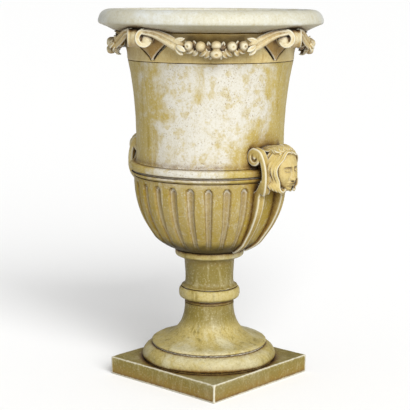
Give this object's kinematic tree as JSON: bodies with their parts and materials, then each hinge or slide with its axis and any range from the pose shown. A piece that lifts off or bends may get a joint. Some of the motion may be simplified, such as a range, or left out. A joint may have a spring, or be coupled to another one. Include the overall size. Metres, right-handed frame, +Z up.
{
  "type": "garden urn",
  "caption": "Pedestal garden urn in cast stone, with fluted bowl, garland frieze under a moulded rim, and scroll handles with masks, on a square plinth.",
  "frame": {"origin": "middle of the plinth's underside, which stands on the ground", "axes": "+Z up the urn's axis; X through the two handles; Y across the plain sides, plinth sides along X and Y"},
  "size_m": [0.549, 0.549, 0.919],
  "materials": {
    "base_stone": "ochre cast stone, antiqued, matt",
    "body_stone": "honed cast stone, antiqued, matt",
    "frieze_stone": "honed cast stone, antiqued, matt",
    "rim_stone": "pale weathered cast stone, matt",
    "ornament_stone": "cream cast stone with dark patina in the hollows, matt",
    "handle_stone": "cream cast stone with dark patina in the hollows, matt",
    "mortar": "dark bedding mortar, matt",
    "dowel_steel": "stainless steel bar",
    "galvanised_steel": "galvanised steel"
  },
  "bodies": {
    "root": {"plinth": "base_stone", "foot": "base_stone", "stem": "base_stone", "bowl": "body_stone", "belt": "body_stone", "drum": "body_stone", "frieze": "frieze_stone", "rim": "rim_stone", "bed_plinth": "mortar", "bed_foot": "mortar", "bed_stem": "mortar", "bed_bowl": "mortar", "bed_belt": "mortar", "bed_drum": "mortar", "bed_frieze": "mortar", "console_1": "ornament_stone", "console_2": "ornament_stone", "console_3": "ornament_stone", "console_4": "ornament_stone", "garland_1": "ornament_stone", "garland_2": "ornament_stone", "garland_3": "ornament_stone", "garland_4": "ornament_stone", "scroll_1_left": "handle_stone", "scroll_1_right": "handle_stone", "scroll_2_left": "handle_stone", "scroll_2_right": "handle_stone", "mask_1": "handle_stone", "mask_2": "handle_stone", "console_dowel_1": "dowel_steel", "console_dowel_2": "dowel_steel", "console_dowel_3": "dowel_steel", "console_dowel_4": "dowel_steel", "garland_dowel_1": "dowel_steel", "garland_dowel_2": "dowel_steel", "garland_dowel_3": "dowel_steel", "garland_dowel_4": "dowel_steel", "scroll_dowel_1_left": "dowel_steel", "scroll_dowel_1_right": "dowel_steel", "scroll_dowel_2_left": "dowel_steel", "scroll_dowel_2_right": "dowel_steel", "mask_dowel_1": "dowel_steel", "mask_dowel_2": "dowel_steel", "drain_tube": "galvanised_steel", "nut_lower": "galvanised_steel", "nut_upper": "galvanised_steel", "washer_lower": "galvanised_steel", "washer_upper": "galvanised_steel"}
  },
  "joints": []
}
